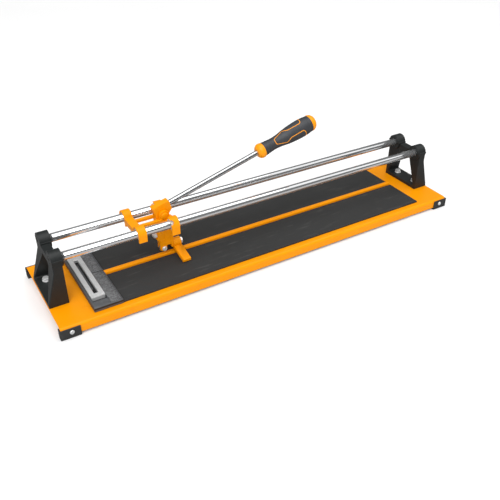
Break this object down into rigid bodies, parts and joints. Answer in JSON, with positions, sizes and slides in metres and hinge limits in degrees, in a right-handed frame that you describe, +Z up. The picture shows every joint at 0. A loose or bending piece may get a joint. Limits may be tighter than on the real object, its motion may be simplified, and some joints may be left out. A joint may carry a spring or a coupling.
{
  "type": "manual tile cutter",
  "caption": "Bench tile cutter: folded steel base with rubber pads and a breaking ridge, chromed guide rails, and a carriage with a hinged lever carrying the scoring wheel and breaker foot.",
  "frame": {"origin": "on the ground, at the middle of the footprint", "axes": "+X along the rails away from the side stop, +Y away from the user, +Z up"},
  "size_m": [0.784, 0.192, 0.2136],
  "materials": {
    "orange_paint": "glossy orange powder coat",
    "black_paint": "black satin paint over a slightly grainy casting",
    "stop_grey": "dark grey satin paint",
    "strip_grey": "bead blasted, with engraved ticks",
    "slider_silver": "satin anodised",
    "chrome": "polished",
    "zinc": "bright zinc plate",
    "black_steel": "black oxide",
    "foot_rubber": "matt moulded",
    "pad_rubber": "fine closed cell foam",
    "grip_rubber": "soft moulded",
    "orange_plastic": "semi gloss moulded",
    "bush_plastic": "turned acetal",
    "core_plastic": "moulded",
    "carbide": "ground hard metal"
  },
  "bodies": {
    "base": {"base_plate": "orange_paint", "breaking_ridge": "orange_paint", "front_pad": "pad_rubber", "back_pad": "pad_rubber", "left_end_bracket": "black_paint", "right_end_bracket": "black_paint", "bracket_bolts": "zinc", "bracket_washers": "zinc", "bracket_nuts": "zinc", "front_rail": "chrome", "back_rail": "chrome", "rail_end_plugs": "zinc", "rail_end_screws": "black_steel", "front_left_foot": "foot_rubber", "front_right_foot": "foot_rubber", "back_left_foot": "foot_rubber", "back_right_foot": "foot_rubber", "foot_screws": "zinc", "stop_base": "stop_grey", "stop_screws": "zinc", "front_stop_strip": "strip_grey", "back_stop_strip": "strip_grey"},
    "stop": {"stop_slider": "slider_silver"},
    "carriage": {"carriage_saddle": "orange_paint", "slide_bushes": "bush_plastic", "pivot_pin": "orange_paint", "pivot_clip": "black_steel"},
    "lever": {"lever_head": "orange_paint", "handle_rod": "zinc", "handle_ferrule": "orange_plastic", "handle_core": "core_plastic", "handle_grip": "grip_rubber", "handle_end_cap": "orange_plastic", "wheel_holder": "orange_paint", "holder_bolt": "zinc", "holder_nut": "zinc", "wheel_axle": "zinc", "axle_nut": "zinc", "breaker_foot": "orange_paint", "breaker_bolt": "zinc"},
    "wheel": {"scoring_wheel": "carbide"}
  },
  "joints": [
    {"name": "carriage_slide", "type": "slide", "parent": "base", "child": "carriage", "axis": [1, 0, 0], "range_m": [-0.118, 0.465]},
    {"name": "lever_hinge", "type": "hinge", "parent": "carriage", "child": "lever", "pos_m": [-0.177, 0.006, 0.104], "axis": [0, -1, 0], "range_deg": [0, 30]},
    {"name": "wheel_spin", "type": "hinge", "parent": "lever", "child": "wheel", "pos_m": [-0.179, 0.006, 0.0375], "axis": [0, 1, 0], "continuous": true},
    {"name": "stop_slide", "type": "slide", "parent": "base", "child": "stop", "axis": [0, 1, 0], "range_m": [-0.0063, 0.0063]}
  ]
}
